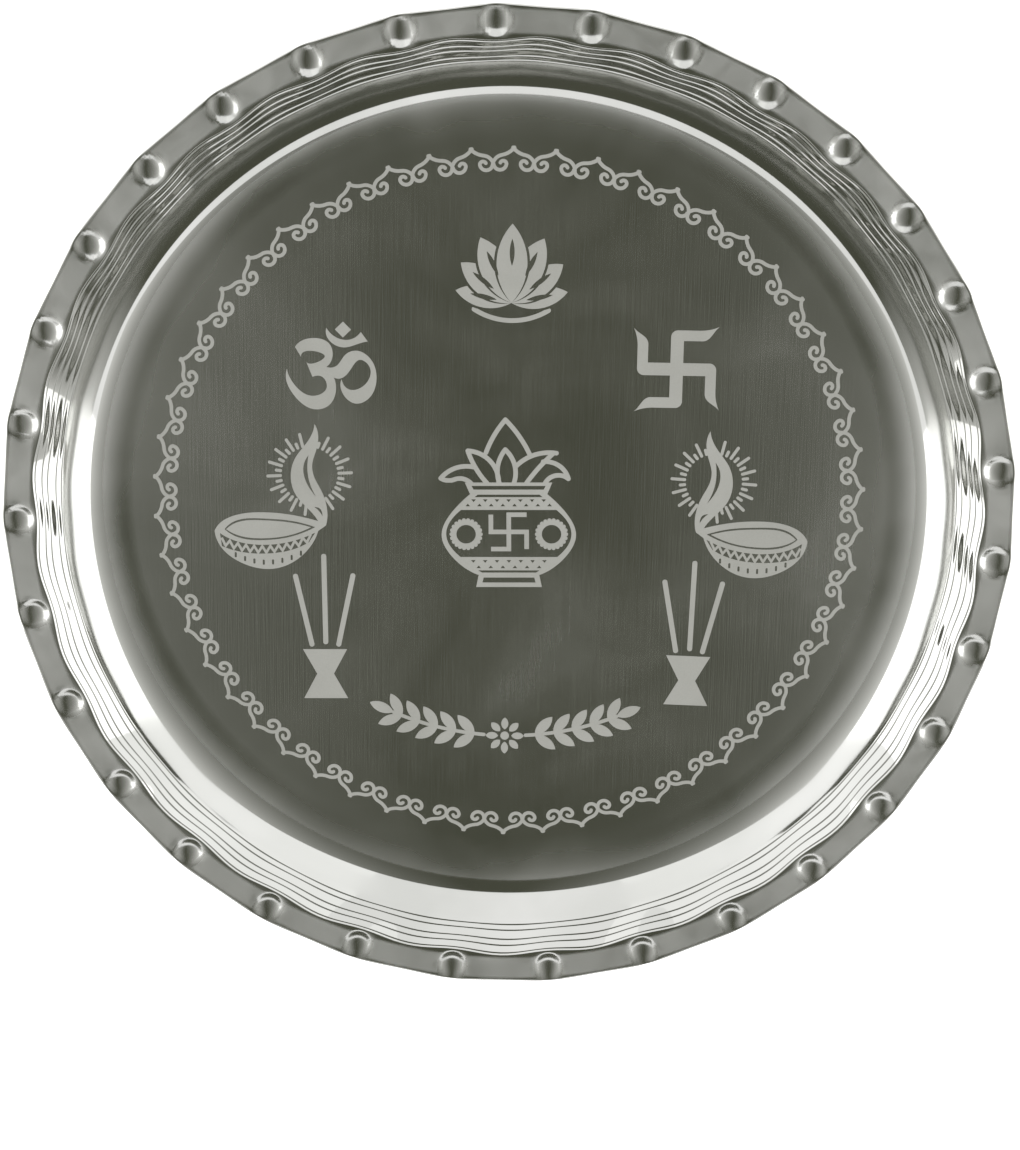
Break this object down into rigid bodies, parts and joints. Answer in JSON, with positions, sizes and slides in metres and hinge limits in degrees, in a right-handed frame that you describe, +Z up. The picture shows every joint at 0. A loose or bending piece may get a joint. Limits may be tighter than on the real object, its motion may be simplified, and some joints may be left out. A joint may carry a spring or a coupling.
{
  "type": "puja thali",
  "caption": "Round pressed steel thali with a dented rim, a stepped sloping wall and a flat floor that carries a frosted print of traditional devotional signs.",
  "frame": {"origin": "middle of the plate's flat underside", "axes": "+Z up out of the tray, +Y to the top of the print, +X to its right"},
  "size_m": [0.203, 0.2028, 0.013],
  "materials": {
    "steel": "polished sheet with fine hairlines",
    "frosted_print": "matte frosted"
  },
  "bodies": {
    "root": {"pressed_plate": "steel", "scroll_border": "frosted_print", "om_sign": "frosted_print", "swastika_sign": "frosted_print", "lotus_sign": "frosted_print", "leaf_garland": "frosted_print", "kalash_pot": "frosted_print", "kalash_leaves": "frosted_print", "kalash_rosettes": "frosted_print", "kalash_swastika": "frosted_print", "left_lamp_bowl": "frosted_print", "left_lamp_oil": "frosted_print", "left_lamp_flame": "frosted_print", "left_lamp_rays": "frosted_print", "left_incense_sticks": "frosted_print", "left_incense_stand": "frosted_print", "right_lamp_bowl": "frosted_print", "right_lamp_oil": "frosted_print", "right_lamp_flame": "frosted_print", "right_lamp_rays": "frosted_print", "right_incense_sticks": "frosted_print", "right_incense_stand": "frosted_print"}
  },
  "joints": []
}
